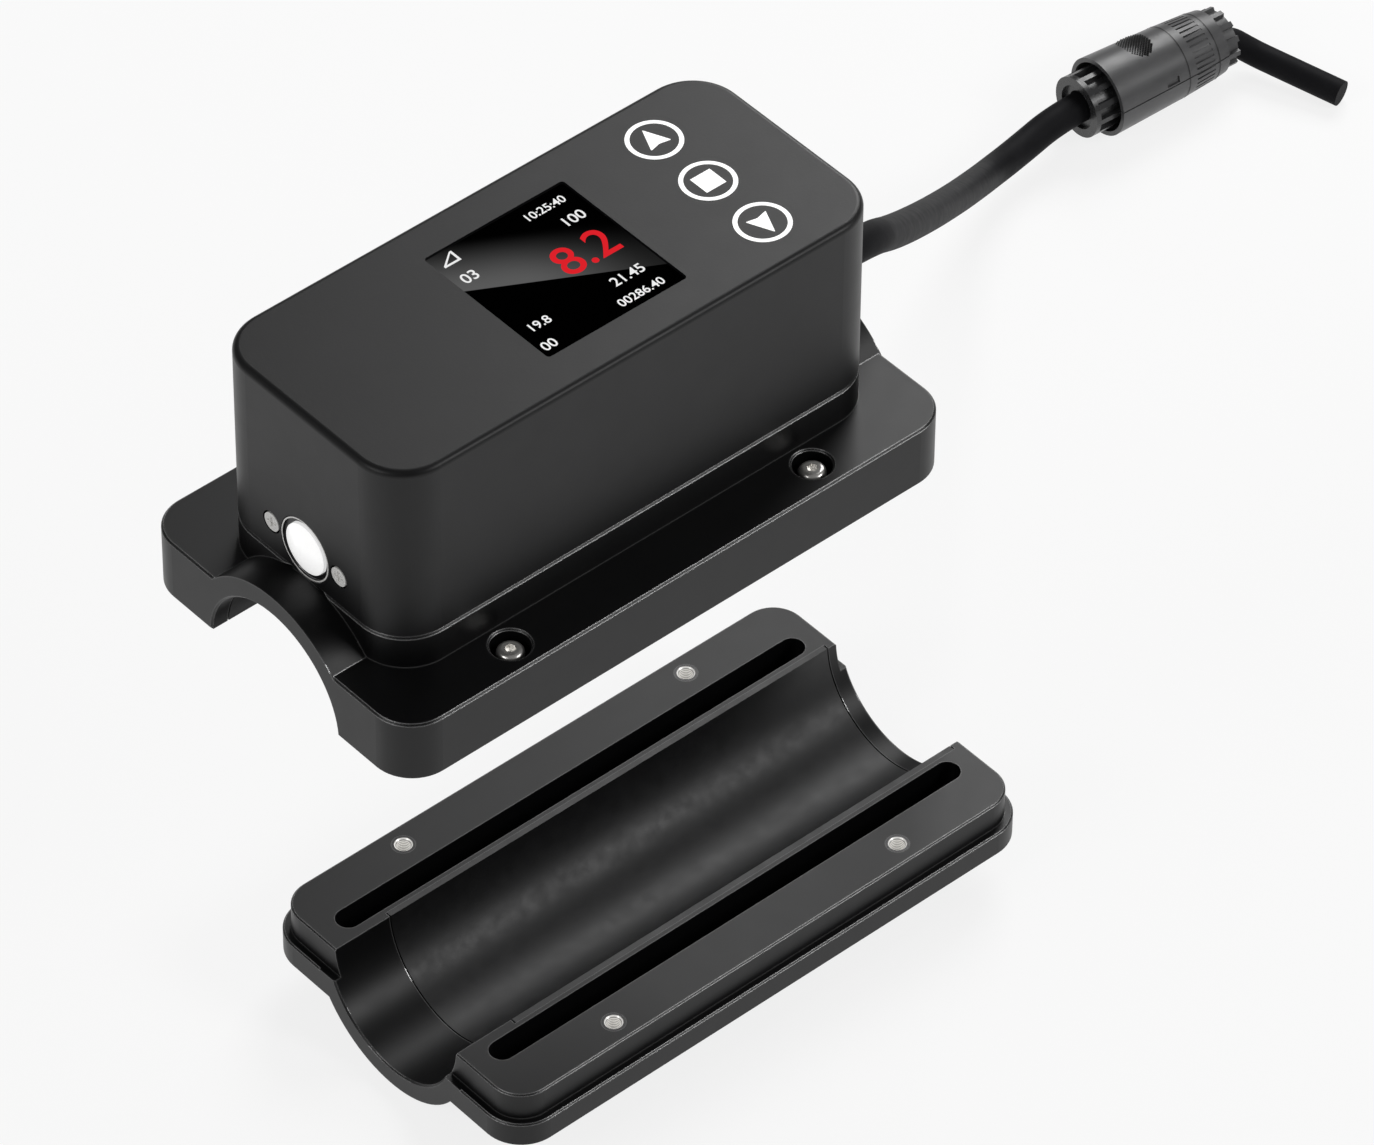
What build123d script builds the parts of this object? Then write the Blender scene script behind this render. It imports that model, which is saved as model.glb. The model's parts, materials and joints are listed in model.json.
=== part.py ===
from build123d import *
import math
import os

# Clamp-on ultrasonic flow meter. Units are millimetres.
# The origin lies on the axis of the pipe that the meter clamps onto, halfway along the upper saddle.
# +X runs along the pipe towards the lead, +Y is the far side, +Z is up.
# The lower clamp is drawn apart, below the meter and a little along the pipe.

# Pipe and saddle
pipe_radius = 19.05
axis_below_plate = 1.0
plate_length = 140.0
plate_width = 79.4
plate_thickness = 14.6
plate_corner = 9.0
plate_edge = 0.5
bulge_radius = 23.7
bore_edge = 0.4

# Coupling pads between the metal and the pipe
pad_thickness = 1.25
pad_end_gap = 0.3
upper_lip = 4.0

# Housing that stands on the saddle
housing_length = 123.0
housing_width = 55.0
housing_corner = 10.9
housing_height = 42.7
housing_wall = 2.8
housing_roof = 3.0
housing_top_round = 1.4
seam_above_plate = 7.7
seam_edge = 0.5
gasket_inset = 1.0
gasket_width = 1.0
gasket_depth = 0.8

# Screws that hold the housing down, from under the plate
housing_screw_inset_x = 9.5
housing_screw_inset_y = 4.1
housing_screw_radius = 1.25
housing_screw_head_radius = 2.25
housing_screw_head_height = 2.2
housing_screw_length = 16.0
housing_screw_sink = 8.0
housing_screw_key_radius = 1.0
housing_screw_key_depth = 1.2
head_clearance = 0.35
boss_radius = 3.2
boss_height = 14.0
boss_floor = 1.5

# Display and touch keys
display_length = 34.9
display_width = 36.7
display_x = 1.2
display_sink = 0.7
display_corner = 0.8
pane_thickness = 1.1
ledge_width = 1.6
module_clearance = 0.2
module_margin = 2.0
module_thickness = 2.6
keys_x = 39.9
key_pitch = 15.8
key_pad_radius = 5.0
key_pad_thickness = 0.4
touch_board_thickness = 1.2
touch_board_margin = 0.8

# Status lamp in the end wall
lamp_z = 31.0
lamp_hole_radius = 6.7
lamp_bezel_inner = 5.8
lamp_bezel_sink = 0.6
lens_radius = 5.6
lens_proud = 1.1
lens_flange_radius = 7.4
lens_flange_thickness = 1.0
lamp_carrier_length = 27.0
lamp_carrier_height = 13.0
lamp_carrier_thickness = 2.4
lamp_board_thickness = 1.4
lamp_screw_y = 10.0
lamp_screw_radius = 1.0
lamp_screw_head_radius = 2.1
lamp_screw_head_height = 1.0
lamp_screw_recess_radius = 2.5
lamp_slot_length = 2.6
lamp_slot_width = 0.5
lamp_slot_depth = 0.5
lamp_source_radius = 2.5
lamp_source_height = 1.8

# Ultrasonic transducers and temperature probe
transducer_x = 26.0
wedge_length = 23.0
wedge_width = 12.0
wedge_height = 10.0
wedge_slope = 14.0
wedge_toe = 1.8
window_clearance = 0.25
wedge_flange = 2.0
wedge_flange_thickness = 1.4
wedge_skirt = 2.0
piezo_radius = 4.5
piezo_thickness = 1.0
probe_radius = 2.5
probe_flange_radius = 4.0
probe_height = 6.0

# Circuit board
board_length = 98.0
board_width = 36.0
board_corner = 2.0
board_thickness = 1.6
board_height = 14.0
board_components = [
    (-5.0, 0.0, 14.0, 14.0, 1.6),
    (17.0, -5.0, 10.0, 10.0, 2.4),
    (-28.0, 7.5, 12.0, 9.0, 3.0),
    (33.0, 0.0, 10.0, 12.0, 6.0),
]
spacer_inset_x = 5.0
spacer_inset_y = 4.0
spacer_screw_depth = 4.0
spacer_radius = 2.5
spacer_bore = 1.1

# Clamp screws and the threaded inserts that they reach
screw_inset_x = 31.5
screw_inset_y = 6.7
screw_radius = 1.5
screw_length = 12.0
screw_head_radius = 2.85
screw_head_height = 1.65
screw_key_radius = 1.15
screw_key_depth = 0.9
screw_head_sink = 1.0
screw_travel = 5.9
screw_tip_edge = 0.3
screw_end_room = 0.1
screw_clearance = 0.05
counterbore_radius = 4.1
counterbore_edge = 0.4
insert_radius = 2.45
insert_length = 6.0
insert_end_room = 1.5
insert_edge = 0.4

# Lower clamp
lower_shift = 26.3
lower_drop = 106.3
closed_gap = 2.0
flange_thickness = 6.3
rail_height = 6.8
rail_inset = 1.8
rail_edge = 0.4
belly_radius = 23.5
near_lip = 16.2
far_lip = 4.0
slot_inner_y = 21.4
slot_outer_y = 27.0
slot_end = 5.0
slot_depth = 10.0

# Lead, its gland and the in-line connector
lead_radius = 3.6
gland_y = -3.6
gland_z = 31.0
gland_flange_radius = 6.9
gland_flange_thickness = 2.5
gland_neck_radius = 5.8
gland_neck_inside = 5.0
gland_mouth_length = 4.0
gland_seal_radius = 5.2
gland_nut_length = 6.6
gland_nut_radius = 6.8
gland_nut_edge = 1.2
gland_groove_count = 10
gland_groove_length = 4.0
gland_groove_width = 1.2
gland_groove_depth = 0.45
locknut_radius = 7.3
locknut_thickness = 2.6
locknut_notch_count = 6
locknut_notch_width = 2.0
locknut_notch_depth = 0.8
cord_clearance = 0.15
seal_grip = 0.1
connector_face = (260.8, 122.7, -120.2)
connector_yaw = -4.41
nut_length = 11.0
nut_showing = 6.1
nut_core_radius = 6.3
nut_rib_radius = 7.5
nut_rib_width = 1.3
nut_rib_count = 12
nut_disc_thickness = 1.3
nut_dish_radius = 5.4
nut_dish_depth = 1.0
rib_root = 0.5
barrel_length = 19.9
barrel_mouth_radius = 9.6
barrel_end_radius = 8.9
barrel_wall = 1.0
barrel_mouth_depth = 6.5
thread_tube_radius = 5.6
socket_web = 1.0
seam_turn = 80.0
seam_groove_width = 0.3
seam_groove_depth = 0.35
latch_start = 19.4
latch_length = 3.6
latch_width = 1.6
latch_depth = 0.4
latch_turn = 72.0
seal_length = 3.0
spigot_radius = 6.6
spigot_length = 5.7
insert_core_radius = 5.6
contact_radius = 0.75
contact_circle = 3.2
contact_count = 5
contact_length = 4.5
contact_root = 1.0
contact_end_gap = 0.5
contact_clearance = 0.05
mate_gap = 0.3
ring_length = 9.15
ring_end_radius = 8.3
ring_rib_count = 40
ring_rib_depth = 0.35
ring_groove_width = 0.5
ring_groove_share = 0.6
ring_groove_middle = 0.55
running_clearance = 0.05
collar_length = 3.15
collar_end_radius = 7.9
plug_nut_length = 3.7
plug_nut_core_radius = 6.3
plug_nut_rib_radius = 7.2
plug_tube_radius = 4.8
plug_core_length = 3.2
plug_mouth_depth = 2.0
plug_mouth_inner_radius = 3.7
plug_mouth_radius = 5.6
supply_radius = 3.1

# How far a cutting shape runs past the face that it cuts
past = 1.0

# Places and heights that follow from the sizes
plate_bottom = axis_below_plate
plate_top = plate_bottom + plate_thickness
seam_z = plate_top + seam_above_plate
housing_top = seam_z + housing_height
roof_z = housing_top - housing_roof
pad_radius = pipe_radius + pad_thickness
wall_x = housing_length / 2
housing_screw_x = wall_x - housing_screw_inset_x
housing_screw_y = housing_width / 2 - housing_screw_inset_y
spacer_x = board_length / 2 - spacer_inset_x
spacer_y = board_width / 2 - spacer_inset_y
screw_x = plate_length / 2 - screw_inset_x
screw_y = plate_width / 2 - screw_inset_y
inner_x = wall_x - housing_wall
closed_rail_top = plate_bottom - closed_gap
rail_top = closed_rail_top - lower_drop
flange_top = rail_top - rail_height
flange_bottom = flange_top - flange_thickness
trough_z = -lower_drop
floor_z = trough_z - belly_radius
counterbore_depth = screw_head_sink + screw_head_height + screw_travel + screw_end_room

# Share of the shorter run beside a corner that the corner's bend takes up
bend_share = 0.45

# Route of the lead from the gland to the connector, and of the supply cord from the connector on
lead_route = [
    (58.0, -3.6, 31.0),
    (84.0, -3.6, 31.0),
    (102.4, 4.4, 14.4),
    (130.8, 32.3, -11.6),
    (151.8, 49.9, -37.8),
    (195.3, 87.1, -82.0),
    (217.1, 109.5, -109.6),
    (234.1, 118.7, -119.4),
    (255.2, 123.13, -120.2),
    (269.4, 122.04, -120.2),
]
supply_route = [
    (295.9, 119.99, -120.2),
    (303.3, 119.42, -120.2),
    (308.0, 114.1, -124.5),
    (309.6, 107.8, -124.7),
    (312.5, 100.0, -125.8),
    (315.1, 92.1, -126.6),
]


def slab(length, width, corner, low, high):
    """Flat block with rounded upright corners between two heights."""
    return Pos(0, 0, low) * extrude(RectangleRounded(length, width, corner), high - low)


def block(x_range, y_range, z_range):
    """Plain block between pairs of limits."""
    size = [high - low for low, high in (x_range, y_range, z_range)]
    middle = [(high + low) / 2 for low, high in (x_range, y_range, z_range)]
    return Pos(*middle) * Box(*size)


def rod_x(radius, start, end, y=0.0, z=0.0):
    """Round bar along X."""
    return Pos((start + end) / 2, y, z) * Rot(0, 90, 0) * Cylinder(radius, end - start)


def rod_z(radius, low, high, x=0.0, y=0.0):
    """Upright round bar."""
    return Pos(x, y, (low + high) / 2) * Cylinder(radius, high - low)


def turned(points):
    """Solid turned about the X axis from a half outline of (x, radius) points."""
    outline = Polyline(*[(x, radius) for x, radius in points], close=True)
    return revolve(make_face(outline), Axis.X)


def corners(x, y):
    """The four places of a rectangular pattern."""
    return [(sx * x, sy * y) for sx in (-1, 1) for sy in (-1, 1)]


def end_edges(shape, x):
    """Edges that lie in the upright plane at x."""
    return [edge for edge in shape.edges() if abs(edge.center().X - x) < 1e-4]


def screw_seats(x, y):
    """Through hole and deep counterbore of one clamp screw."""
    hole = rod_z(screw_radius + screw_clearance, plate_bottom - past, plate_top + past, x, y)
    seat = rod_z(counterbore_radius, plate_top - counterbore_depth, plate_top + past, x, y)
    edge = Pos(x, y, plate_top - counterbore_edge / 2) * Cone(
        counterbore_radius, counterbore_radius + counterbore_edge, counterbore_edge
    )
    return hole + seat + edge


def housing_screw_seat(x, y):
    """Clearance hole and counterbore, from below, of one housing screw."""
    hole = rod_z(housing_screw_radius + screw_clearance, plate_bottom - past, seam_z + past, x, y)
    seat_radius = housing_screw_head_radius + head_clearance
    return hole + rod_z(seat_radius, plate_bottom - past, plate_bottom + housing_screw_sink, x, y)


def gasket_ring(low, high):
    """Ring that follows the housing's outline inside its wall."""
    outer = gasket_inset
    inner = gasket_inset + gasket_width
    rings = [
        slab(housing_length - 2 * inset, housing_width - 2 * inset, housing_corner - inset, low, high)
        for inset in (outer, inner)
    ]
    return rings[0] - rings[1]


def upper_saddle():
    """Upper casting: plate, plinth and the half-round bulge over the bore."""
    plate = slab(plate_length, plate_width, plate_corner, plate_bottom, plate_top)
    plate = chamfer(plate.faces().sort_by(Axis.Z)[-1].edges(), plate_edge)
    plate = chamfer(plate.faces().sort_by(Axis.Z)[0].edges(), plate_edge)
    half = plate_length / 2
    bulge = rod_x(bulge_radius, -half, half)
    bulge &= block((-half, half), (-bulge_radius, bulge_radius), (plate_bottom + plate_edge, bulge_radius))
    bulge -= block((-wall_x, wall_x), (-bulge_radius, bulge_radius), (seam_z, bulge_radius + past))
    plinth = slab(housing_length, housing_width, housing_corner, plate_bottom + plate_edge, seam_z)
    plinth = chamfer(plinth.faces().sort_by(Axis.Z)[-1].edges(), seam_edge)
    body = plate + plinth + bulge
    body -= rod_x(pipe_radius, -half - past, half + past)
    for side in (-1, 1):
        mouth = Pos(side * (half - bore_edge / 2), 0, 0) * Rot(0, side * 90, 0)
        body -= mouth * Cone(pipe_radius, pipe_radius + bore_edge, bore_edge)
    pocket = half - upper_lip
    body -= rod_x(pad_radius, -pocket, pocket)
    for side in (-1, 1):
        x = side * transducer_x
        reach = wedge_length / 2 + window_clearance
        across = wedge_width / 2 + window_clearance
        body -= block((x - reach, x + reach), (-across, across), (pipe_radius - 4 * past, seam_z + past))
    body -= rod_z(probe_radius, pipe_radius - 4 * past, seam_z + past)
    body -= gasket_ring(seam_z - gasket_depth, seam_z)
    for x, y in corners(screw_x, screw_y):
        body -= screw_seats(x, y)
    for x, y in corners(housing_screw_x, housing_screw_y):
        body -= housing_screw_seat(x, y)
    for x, y in corners(spacer_x, spacer_y):
        body -= rod_z(spacer_bore, seam_z - spacer_screw_depth, seam_z + past, x, y)
    return body


def upper_pad():
    """Soft half-round pad that couples the sound into the pipe."""
    reach = plate_length / 2 - upper_lip - pad_end_gap
    pad = rod_x(pad_radius, -reach, reach) - rod_x(pipe_radius, -reach - past, reach + past)
    return pad & block((-reach, reach), (-pad_radius, pad_radius), (plate_bottom, pad_radius))


def housing_shell():
    """Deep cover with a recessed display opening, lamp holes and lead hole."""
    outer = slab(housing_length, housing_width, housing_corner, seam_z, housing_top)
    outer = fillet(outer.faces().sort_by(Axis.Z)[-1].edges(), housing_top_round)
    outer = chamfer(outer.faces().sort_by(Axis.Z)[0].edges(), seam_edge)
    wall = 2 * housing_wall
    cavity = slab(
        housing_length - wall, housing_width - wall, housing_corner - housing_wall, seam_z, roof_z
    )
    shell = outer - cavity
    posts = Part()
    for x, y in corners(housing_screw_x, housing_screw_y):
        posts += rod_z(boss_radius, seam_z, seam_z + boss_height, x, y)
    shell += posts & outer
    for x, y in corners(housing_screw_x, housing_screw_y):
        shell -= rod_z(housing_screw_radius, seam_z, seam_z + boss_height - boss_floor, x, y)
    sink = display_sink + pane_thickness
    shell -= Pos(display_x, 0, 0) * slab(
        display_length, display_width, display_corner, housing_top - sink, housing_top + 1
    )
    ledge = 2 * ledge_width
    shell -= Pos(display_x, 0, 0) * slab(
        display_length - ledge, display_width - ledge, display_corner, roof_z - past, housing_top
    )
    shell -= rod_x(lamp_hole_radius, -wall_x - past, -inner_x + past, 0, lamp_z)
    rim = Pos(-wall_x + seam_edge / 2, 0, lamp_z) * Rot(0, -90, 0)
    shell -= rim * Cone(lamp_hole_radius, lamp_hole_radius + seam_edge, seam_edge)
    for side in (-1, 1):
        y = side * lamp_screw_y
        shell -= rod_x(lamp_screw_radius, -wall_x - past, -inner_x + past, y, lamp_z)
        recess = -wall_x + lamp_screw_head_height
        shell -= rod_x(lamp_screw_recess_radius, -wall_x - past, recess, y, lamp_z)
    return shell - rod_x(gland_neck_radius, inner_x - past, wall_x + past, gland_y, gland_z)


def housing_screws():
    """Four socket screws that pull the housing onto the saddle."""
    screws = []
    seat = plate_bottom + housing_screw_sink
    for x, y in corners(housing_screw_x, housing_screw_y):
        screw = rod_z(housing_screw_radius, seat, seat + housing_screw_length, x, y)
        screw += rod_z(housing_screw_head_radius, seat - housing_screw_head_height, seat, x, y)
        key = extrude(RegularPolygon(housing_screw_key_radius, 6), housing_screw_key_depth)
        screws.append(screw - Pos(x, y, seat - housing_screw_head_height) * key)
    return screws


def display_window():
    """Glass pane on the ledge of its recess."""
    top = housing_top - display_sink
    return Pos(display_x, 0, 0) * slab(
        display_length, display_width, display_corner, top - pane_thickness, top
    )


def display_module():
    """Screen that stands up through the opening and a frame under the roof."""
    inset = 2 * (ledge_width + module_clearance)
    screen_top = housing_top - display_sink - pane_thickness
    screen = slab(display_length - inset, display_width - inset, display_corner, roof_z, screen_top)
    grow = 2 * module_margin
    frame = slab(
        display_length + grow, display_width + grow, display_corner, roof_z - module_thickness, roof_z
    )
    return Pos(display_x, 0, 0) * (screen + frame)


def touch_board():
    """Narrow board under the roof with one round pad for each key."""
    low = roof_z - key_pad_thickness - touch_board_thickness
    width = 2 * (key_pitch + key_pad_radius + touch_board_margin)
    length = 2 * (key_pad_radius + touch_board_margin)
    board = slab(length, width, board_corner, low, roof_z - key_pad_thickness)
    for place in (-1, 0, 1):
        board += rod_z(key_pad_radius, roof_z - key_pad_thickness, roof_z, 0, place * key_pitch)
    return Pos(keys_x, 0, 0) * board


def wedge(side):
    """Plastic sound wedge in its window, with a flange on the saddle."""
    half = wedge_length / 2
    low = pipe_radius - wedge_skirt
    crown = seam_z + wedge_height
    profile = Polyline(
        (-half, low), (half, low), (half, seam_z + wedge_toe), (half - wedge_slope, crown), (-half, crown),
        close=True,
    )
    body = Plane.XZ.offset(-wedge_width / 2) * extrude(make_face(profile), wedge_width)
    grow = 2 * wedge_flange
    flange = slab(
        wedge_length + grow, wedge_width + grow, board_corner, seam_z, seam_z + wedge_flange_thickness
    )
    body = Pos(transducer_x, 0, 0) * (body + flange)
    body -= rod_x(pad_radius, 0, plate_length / 2)
    return body if side > 0 else mirror(body, Plane.YZ)


def piezo_disc(side):
    """Ceramic disc on the sloping face of its wedge."""
    half = wedge_length / 2
    toe = (transducer_x + half, seam_z + wedge_toe)
    top = (transducer_x + half - wedge_slope, seam_z + wedge_height)
    slope = math.degrees(math.atan2(top[1] - toe[1], toe[0] - top[0]))
    middle = Pos((toe[0] + top[0]) / 2, 0, (toe[1] + top[1]) / 2)
    disc = Pos(0, 0, piezo_thickness / 2) * Cylinder(piezo_radius, piezo_thickness)
    disc = middle * Rot(0, slope, 0) * disc
    return disc if side > 0 else mirror(disc, Plane.YZ)


def temperature_probe():
    """Probe that stands on the pad between the two wedges."""
    probe = rod_z(probe_radius, pipe_radius - wedge_skirt, seam_z + probe_height)
    probe += rod_z(probe_flange_radius, seam_z, seam_z + wedge_flange_thickness)
    return probe - rod_x(pad_radius, -probe_flange_radius - past, probe_flange_radius + past)


def main_board():
    """Circuit board on its spacers, with its larger components."""
    low = seam_z + board_height
    high = low + board_thickness
    board = slab(board_length, board_width, board_corner, low, high)
    for x, y, length, width, height in board_components:
        board += Pos(x, y, high + height / 2) * Box(length, width, height)
    for x, y in corners(spacer_x, spacer_y):
        board -= rod_z(spacer_bore, low, high, x, y)
    return board


def board_spacers():
    """Four tubes that carry the circuit board."""
    tubes = []
    for x, y in corners(spacer_x, spacer_y):
        tube = rod_z(spacer_radius, seam_z, seam_z + board_height, x, y)
        tubes.append(tube - rod_z(spacer_bore, seam_z, seam_z + board_height, x, y))
    return tubes


def lamp_bezel():
    """Dark ring between the lamp hole and the lens."""
    outer = rod_x(lamp_hole_radius, -wall_x + lamp_bezel_sink, -inner_x, 0, lamp_z)
    return outer - rod_x(lamp_bezel_inner, -wall_x, -inner_x + past, 0, lamp_z)


def lamp_lens():
    """Domed lens with a flange behind the wall."""
    dome_radius = (lens_radius**2 + lens_proud**2) / (2 * lens_proud)
    front = -wall_x - lens_proud
    barrel = rod_x(lens_radius, front, -inner_x, 0, lamp_z)
    barrel &= Pos(front + dome_radius, 0, lamp_z) * Sphere(dome_radius)
    return barrel + rod_x(lens_flange_radius, -inner_x, -inner_x + lens_flange_thickness, 0, lamp_z)


def lamp_carrier():
    """Bracket behind the lens, with two pads that reach the wall at the screws."""
    front = -inner_x + lens_flange_thickness
    half = lamp_carrier_height / 2
    across = lamp_carrier_length / 2
    back = front + lamp_carrier_thickness
    plate = block((front, back), (-across, across), (lamp_z - half, lamp_z + half))
    for side in (-1, 1):
        y = side * lamp_screw_y
        plate += rod_x(lamp_screw_head_radius, -inner_x, front, y, lamp_z)
    plate -= rod_x(lens_radius, front - past, front + lamp_carrier_thickness + past, 0, lamp_z)
    for side in (-1, 1):
        end = front + lamp_carrier_thickness + 1
        plate -= rod_x(lamp_screw_radius, -wall_x, end, side * lamp_screw_y, lamp_z)
    return plate


def lamp_board():
    """Small board with its light source, behind the bracket."""
    front = -inner_x + lens_flange_thickness + lamp_carrier_thickness
    half = lamp_carrier_height / 2
    board = block((front, front + lamp_board_thickness), (-half, half), (lamp_z - half, lamp_z + half))
    return board + rod_x(lamp_source_radius, front - lamp_source_height, front, 0, lamp_z)


def lamp_screws():
    """Two cross-head screws beside the lamp."""
    screws = []
    tail = -inner_x + lens_flange_thickness + lamp_carrier_thickness
    for side in (-1, 1):
        y = side * lamp_screw_y
        screw = rod_x(lamp_screw_radius, -wall_x + lamp_screw_head_height, tail, y, lamp_z)
        screw += rod_x(lamp_screw_head_radius, -wall_x, -wall_x + lamp_screw_head_height, y, lamp_z)
        for angle in (0, 90):
            slot = Box(2 * lamp_slot_depth, lamp_slot_width, lamp_slot_length)
            screw -= Pos(-wall_x, y, lamp_z) * Rot(angle, 0, 0) * slot
        screws.append(screw)
    return screws


def gland_places():
    """Distances along X of the gland's steps."""
    flange = wall_x + gland_flange_thickness
    return flange, flange + gland_mouth_length, flange + gland_nut_length


def cable_gland():
    """Gland body through the wall, with a threaded mouth."""
    flange, mouth, _ = gland_places()
    body = rod_x(gland_neck_radius, inner_x - gland_neck_inside, flange, gland_y, gland_z)
    body += rod_x(gland_flange_radius, wall_x, flange, gland_y, gland_z)
    body += rod_x(gland_neck_radius, flange, mouth, gland_y, gland_z)
    body -= rod_x(lead_radius + cord_clearance, inner_x - gland_neck_inside - past, mouth, gland_y, gland_z)
    return body - rod_x(gland_seal_radius, flange, mouth, gland_y, gland_z)


def gland_seal():
    """Rubber ring that grips the lead in the gland's mouth."""
    flange, mouth, _ = gland_places()
    ring = rod_x(gland_seal_radius, flange, mouth, gland_y, gland_z)
    return ring - rod_x(lead_radius - seal_grip, flange - past, mouth + past, gland_y, gland_z)


def gland_nut():
    """Ribbed nut over the gland's mouth."""
    flange, mouth, end = gland_places()
    nut = rod_x(gland_nut_radius, flange, end, gland_y, gland_z)
    nut = chamfer(end_edges(nut, end), gland_nut_edge)
    groove = Box(gland_groove_length, gland_groove_width, 2 * gland_groove_depth)
    groove = Pos(gland_groove_length / 2, 0, gland_nut_radius) * groove
    for place in range(gland_groove_count):
        nut -= Pos(flange, gland_y, gland_z) * Rot(place * 360 / gland_groove_count, 0, 0) * groove
    nut -= rod_x(gland_neck_radius, flange, mouth, gland_y, gland_z)
    return nut - rod_x(lead_radius + cord_clearance, mouth - past, end + past, gland_y, gland_z)


def gland_locknut():
    """Flat notched nut inside the wall."""
    nut = rod_x(locknut_radius, inner_x - locknut_thickness, inner_x, gland_y, gland_z)
    middle = Pos(inner_x - locknut_thickness / 2, gland_y, gland_z)
    notch = Box(locknut_thickness, locknut_notch_width, 2 * locknut_notch_depth)
    for place in range(locknut_notch_count):
        turn = Rot(place * 360 / locknut_notch_count, 0, 0)
        nut -= middle * turn * Pos(0, 0, locknut_radius) * notch
    return nut - rod_x(gland_neck_radius, inner_x - locknut_thickness, inner_x, gland_y, gland_z)


def clamp_screw(x, y):
    """Button-head screw, raised in its counterbore."""
    top = plate_top - screw_head_sink
    seat = top - screw_head_height
    head = rod_z(screw_head_radius, seat, top)
    head = fillet(head.faces().sort_by(Axis.Z)[-1].edges(), 0.75 * screw_head_height)
    key = Pos(0, 0, top - screw_key_depth) * extrude(RegularPolygon(screw_key_radius, 6), screw_key_depth)
    shank = rod_z(screw_radius, seat - screw_length, seat)
    shank = chamfer(shank.faces().sort_by(Axis.Z)[0].edges(), screw_tip_edge)
    return Pos(x, y, 0) * (head - key + shank)


def in_lower(shape):
    """Move a piece from above its closed place to where the lower clamp is drawn."""
    return Pos(lower_shift, 0, 0) * shape


def slot_cut(side):
    """Long blind slot in one rail."""
    width = slot_outer_y - slot_inner_y
    length = plate_length - 2 * (rail_inset + slot_end)
    middle = side * (slot_inner_y + slot_outer_y) / 2
    outline = SlotOverall(length, width)
    return Pos(0, middle, rail_top - slot_depth) * extrude(outline, slot_depth + past)


def lower_clamp():
    """Lower casting: flange, two rails with slots, and a half-round belly with a trough."""
    half = plate_length / 2
    body = slab(plate_length, plate_width, plate_corner, flange_bottom, flange_top)
    body = chamfer(body.faces().sort_by(Axis.Z)[-1].edges(), rail_edge)
    body = chamfer(body.faces().sort_by(Axis.Z)[0].edges(), plate_edge)
    inset = 2 * rail_inset
    middle = (flange_top + flange_bottom) / 2
    rails = slab(plate_length - inset, plate_width - inset, plate_corner - rail_inset, middle, rail_top)
    rails = chamfer(rails.faces().sort_by(Axis.Z)[-1].edges(), rail_edge)
    belly = rod_x(belly_radius, -half, half, 0, trough_z)
    belly &= block((-half, half), (-belly_radius, belly_radius), (trough_z - belly_radius, flange_top))
    body = body + rails + belly
    body -= rod_x(pipe_radius, -half - past, half + past, 0, trough_z)
    body -= rod_x(pad_radius, -half + near_lip, half - far_lip, 0, trough_z)
    for side in (-1, 1):
        mouth = Pos(side * (half - bore_edge / 2), 0, trough_z) * Rot(0, side * 90, 0)
        body -= mouth * Cone(pipe_radius, pipe_radius + bore_edge, bore_edge)
        body -= slot_cut(side)
    for x, y in corners(screw_x, screw_y):
        body -= rod_z(insert_radius, rail_top - insert_length, rail_top + past, x, y)
        tip = rail_top - insert_length - insert_end_room
        body -= rod_z(screw_radius + screw_clearance, tip, rail_top, x, y)
    return in_lower(body)


def lower_pad():
    """Soft half-round pad in the trough."""
    start = -plate_length / 2 + near_lip + pad_end_gap
    end = plate_length / 2 - far_lip - pad_end_gap
    pad = rod_x(pad_radius, start, end, 0, trough_z)
    pad -= rod_x(pipe_radius, start - past, end + past, 0, trough_z)
    pad &= block((start, end), (-pad_radius, pad_radius), (trough_z - pad_radius, rail_top))
    return in_lower(pad)


def threaded_inserts():
    """Four steel inserts pressed flush into the rails."""
    rings = []
    for x, y in corners(screw_x, screw_y):
        ring = rod_z(insert_radius, rail_top - insert_length, rail_top, x, y)
        ring -= rod_z(screw_radius + screw_clearance, rail_top - insert_length, rail_top, x, y)
        ring = chamfer(ring.faces().sort_by(Axis.Z)[-1].edges().sort_by(SortBy.RADIUS)[0], insert_edge)
        rings.append(in_lower(ring))
    return rings


def on_connector(shape):
    """Move a piece drawn along X to where the connector lies."""
    return Pos(*connector_face) * Rot(0, 0, connector_yaw) * shape


def ribs(count, inner, outer, width, start, end):
    """Narrow ribs around the X axis."""
    fins = Part()
    for place in range(count):
        rib = block((start, end), (-width / 2, width / 2), (inner, outer))
        fins += Rot(place * 360 / count, 0, 0) * rib
    return fins


barrel_start = nut_showing
barrel_end = barrel_start + barrel_length
web_start = barrel_start + barrel_mouth_depth
socket_end = barrel_end + spigot_length
plug_face = socket_end + mate_gap
plug_core_end = plug_face + plug_core_length
ring_start = barrel_end + running_clearance
ring_end = ring_start + ring_length
collar_start = ring_end + running_clearance
collar_end = collar_start + collar_length
plug_nut_end = collar_end + plug_nut_length
plug_tube_end = plug_nut_end - plug_mouth_depth


def socket_nut():
    """Ribbed clamping nut, its end dished around the lead."""
    nut = rod_x(nut_core_radius, 0, nut_length)
    nut += rod_x(nut_rib_radius, 0, nut_disc_thickness)
    root = nut_core_radius - rib_root
    nut += ribs(nut_rib_count, root, nut_rib_radius, nut_rib_width, nut_disc_thickness / 2, nut_length)
    nut -= rod_x(nut_dish_radius, -1, nut_dish_depth)
    nut -= rod_x(lead_radius + cord_clearance, -1, barrel_start)
    return on_connector(nut - rod_x(thread_tube_radius, barrel_start - seal_length, nut_length + past))


def socket_seal():
    """Rubber ring squeezed by the nut around the lead."""
    start = barrel_start - seal_length
    ring = rod_x(thread_tube_radius, start, barrel_start)
    return on_connector(ring - rod_x(lead_radius - seal_grip, start - past, barrel_start + past))


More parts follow.
